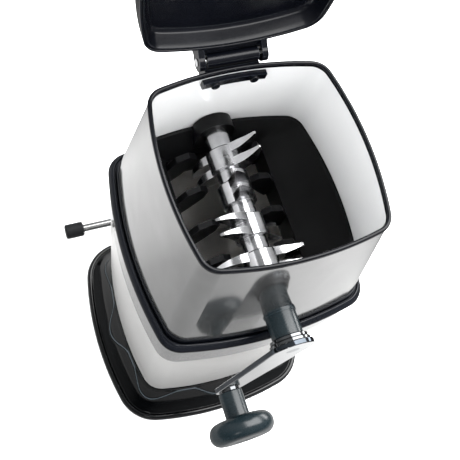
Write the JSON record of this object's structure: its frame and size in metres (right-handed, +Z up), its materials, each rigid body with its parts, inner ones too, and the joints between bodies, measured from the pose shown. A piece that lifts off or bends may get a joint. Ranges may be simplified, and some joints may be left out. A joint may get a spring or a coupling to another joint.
{
  "type": "manual ice crusher",
  "caption": "Hand-cranked ice crusher: tapered square hopper with a hinged lid and toothed rotor on a steel ice container, standing on a suction base with a locking lever.",
  "frame": {"origin": "centre of the suction cup's flat underside, on the table", "axes": "+Z up, -Y towards the crank, +Y towards the lid's hinge, +X to the right of the person who turns the crank"},
  "size_m": [0.1577, 0.2095, 0.3833],
  "materials": {
    "black_gloss": "gloss",
    "black_plastic": "satin",
    "slate_plastic": "semi-gloss",
    "polished_steel": "mirror",
    "satin_steel": "satin",
    "chrome": "mirror",
    "cast_claw": "bright",
    "bearing_brass": "satin",
    "steel_fastener": "satin",
    "rubber": "matt"
  },
  "bodies": {
    "base": {"base_shell": "black_gloss", "base_plate": "black_plastic", "suction_cup": "rubber", "base_screw_1": "steel_fastener", "base_screw_2": "steel_fastener", "base_screw_3": "steel_fastener", "base_screw_4": "steel_fastener", "lever_bush": "black_plastic", "container_shell": "satin_steel", "container_lip": "rubber"},
    "lift": {"lift_yoke": "black_plastic", "lift_foot": "black_plastic"},
    "lever": {"lever_rod": "chrome", "lever_cap": "rubber", "lever_cam": "steel_fastener"},
    "head": {"skirt": "polished_steel", "deck": "black_plastic", "band": "black_gloss", "hopper_shell": "polished_steel", "rim_ring": "black_gloss", "funnel": "black_plastic", "bush_front": "bearing_brass", "bush_rear": "bearing_brass", "crank_boss": "slate_plastic", "boss_ring": "chrome", "comb_left_1": "black_plastic", "comb_right_1": "black_plastic", "comb_left_2": "black_plastic", "comb_right_2": "black_plastic", "comb_left_3": "black_plastic", "comb_right_3": "black_plastic", "comb_left_4": "black_plastic", "comb_right_4": "black_plastic", "comb_left_5": "black_plastic", "comb_right_5": "black_plastic", "hinge_bracket": "black_gloss", "hinge_clamp": "black_gloss", "hinge_screw_1": "steel_fastener", "hinge_screw_2": "steel_fastener", "hinge_pin": "chrome"},
    "rotor": {"rotor_shaft": "steel_fastener", "claw_1": "cast_claw", "claw_2": "cast_claw", "claw_3": "cast_claw", "claw_4": "cast_claw", "sleeve_1": "cast_claw", "sleeve_2": "cast_claw", "sleeve_3": "cast_claw", "sleeve_4": "cast_claw", "sleeve_5": "cast_claw", "hub_disc": "chrome", "crank_arm": "chrome", "handle_pin": "chrome", "handle_washer": "chrome"},
    "handle": {"handle_stem": "slate_plastic", "handle_knob": "slate_plastic", "knob_cap": "slate_plastic"},
    "lid": {"lid_shell": "black_gloss", "lid_liner": "black_gloss", "hinge_leaf": "black_gloss"}
  },
  "joints": [
    {"name": "head_lift", "type": "slide", "parent": "base", "child": "head", "axis": [0, 0, 1], "range_m": [0, 0.16]},
    {"name": "crank_turn", "type": "hinge", "parent": "head", "child": "rotor", "pos_m": [0, 0, 0.2037], "axis": [0, 1, 0], "continuous": true},
    {"name": "handle_spin", "type": "hinge", "parent": "rotor", "child": "handle", "pos_m": [-0.02162, -0.1, 0.12928], "axis": [0, 1, 0], "continuous": true},
    {"name": "lid_hinge", "type": "hinge", "parent": "head", "child": "lid", "pos_m": [0, 0.0614, 0.2694], "axis": [1, 0, 0], "range_deg": [0, 94]},
    {"name": "lever_turn", "type": "hinge", "parent": "base", "child": "lever", "pos_m": [0, 0.06, 0.014], "axis": [0, 1, 0], "range_deg": [0, 90]},
    {"name": "cup_lift", "type": "slide", "parent": "base", "child": "lift", "axis": [0, 0, 1], "range_m": [-0.0024, 0]}
  ],
  "couplings": [
    {"joint": "cup_lift", "follows": "lever_turn", "m_per_rad": -0.0015279}
  ]
}
